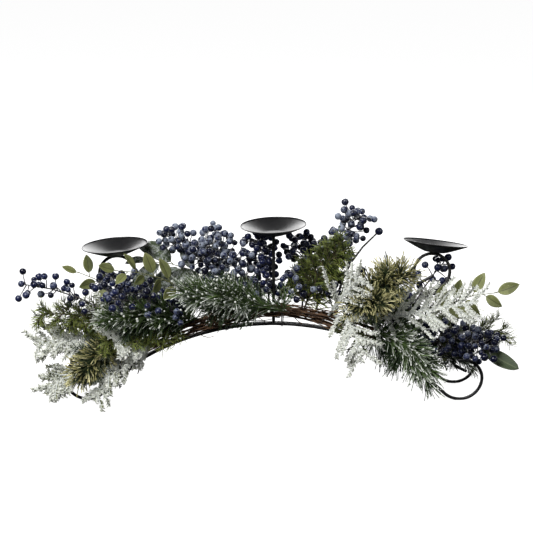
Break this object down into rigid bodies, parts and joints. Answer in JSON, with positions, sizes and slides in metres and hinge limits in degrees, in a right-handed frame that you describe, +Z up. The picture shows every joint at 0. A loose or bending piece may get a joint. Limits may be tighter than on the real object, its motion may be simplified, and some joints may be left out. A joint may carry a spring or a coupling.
{
  "type": "centerpiece candle holder",
  "caption": "Arched black wire centerpiece with raised candle dishes on scroll feet, dressed with snowy fir, pine, blueberry and leaf sprays wired to a grapevine bundle.",
  "frame": {"origin": "on the table, under the middle of the overall box", "axes": "+X along the arch to the right as pictured, +Y to the rear, +Z up"},
  "size_m": [0.7626, 0.2376, 0.2956],
  "materials": {
    "black_iron": "matte black paint over hand-hammered wire",
    "dish_black": "satin black paint",
    "vine_bark": "dry reddish bark",
    "tie_wire": "bare binding wire",
    "flocked_needle": "white flock over pale green needles",
    "green_needle": "matte dark green needles",
    "pine_needle": "green needles with snowy tips",
    "golden_needle": "dark green needles with golden tips",
    "berry_skin": "navy skin with a frosty bloom",
    "oval_leaf": "olive printed leaf cloth",
    "laurel_leaf": "dark green leaf cloth with frost"
  },
  "bodies": {
    "root": {"front_arch_rod": "black_iron", "rear_arch_rod": "black_iron", "centre_stem": "black_iron", "left_saddle_bar": "black_iron", "right_saddle_bar": "black_iron", "left_ring_bracket": "black_iron", "right_ring_bracket": "black_iron", "centre_dish": "dish_black", "left_dish": "dish_black", "right_dish": "dish_black", "vine_strand_1": "vine_bark", "vine_strand_2": "vine_bark", "vine_strand_3": "vine_bark", "vine_strand_4": "vine_bark", "vine_strand_5": "vine_bark", "left_wire_tie": "tie_wire", "centre_wire_tie": "tie_wire", "right_wire_tie": "tie_wire", "left_tip_berry_spray": "berry_skin", "left_tip_leaf_sprig": "oval_leaf", "left_tip_green_fir": "green_needle", "left_end_snowy_fir": "flocked_needle", "left_low_snowy_fir": "flocked_needle", "left_golden_pine": "golden_needle", "left_front_snowy_fir": "flocked_needle", "left_small_snowy_fir": "flocked_needle", "left_green_fir": "green_needle", "left_snow_pine": "pine_needle", "left_rear_snowy_fir": "flocked_needle", "left_berry_spray": "berry_skin", "left_low_berry_spray": "berry_skin", "left_leaf_sprig": "oval_leaf", "left_laurel_sprig": "laurel_leaf", "upper_left_berry_spray": "berry_skin", "centre_berry_spray": "berry_skin", "rear_centre_berry_spray": "berry_skin", "centre_snow_pine": "pine_needle", "centre_green_fir": "green_needle", "upper_right_berry_spray": "berry_skin", "curved_berry_twig": "berry_skin", "centre_snowy_fir": "flocked_needle", "hanging_snowy_fir": "flocked_needle", "right_golden_pine": "golden_needle", "right_low_golden_pine": "golden_needle", "right_snowy_fir": "flocked_needle", "right_snow_pine": "pine_needle", "right_rear_berry_spray": "berry_skin", "right_berry_spray": "berry_skin", "right_laurel_sprig": "laurel_leaf", "right_tip_leaf_sprig": "oval_leaf", "right_tip_green_fir": "green_needle", "right_low_snow_pine": "pine_needle", "rear_left_snowy_fir": "flocked_needle", "rear_left_snow_pine": "pine_needle", "rear_left_golden_pine": "golden_needle", "rear_centre_snowy_fir": "flocked_needle", "rear_right_berry_spray": "berry_skin", "rear_right_snow_pine": "pine_needle", "rear_right_snowy_fir": "flocked_needle"}
  },
  "joints": []
}
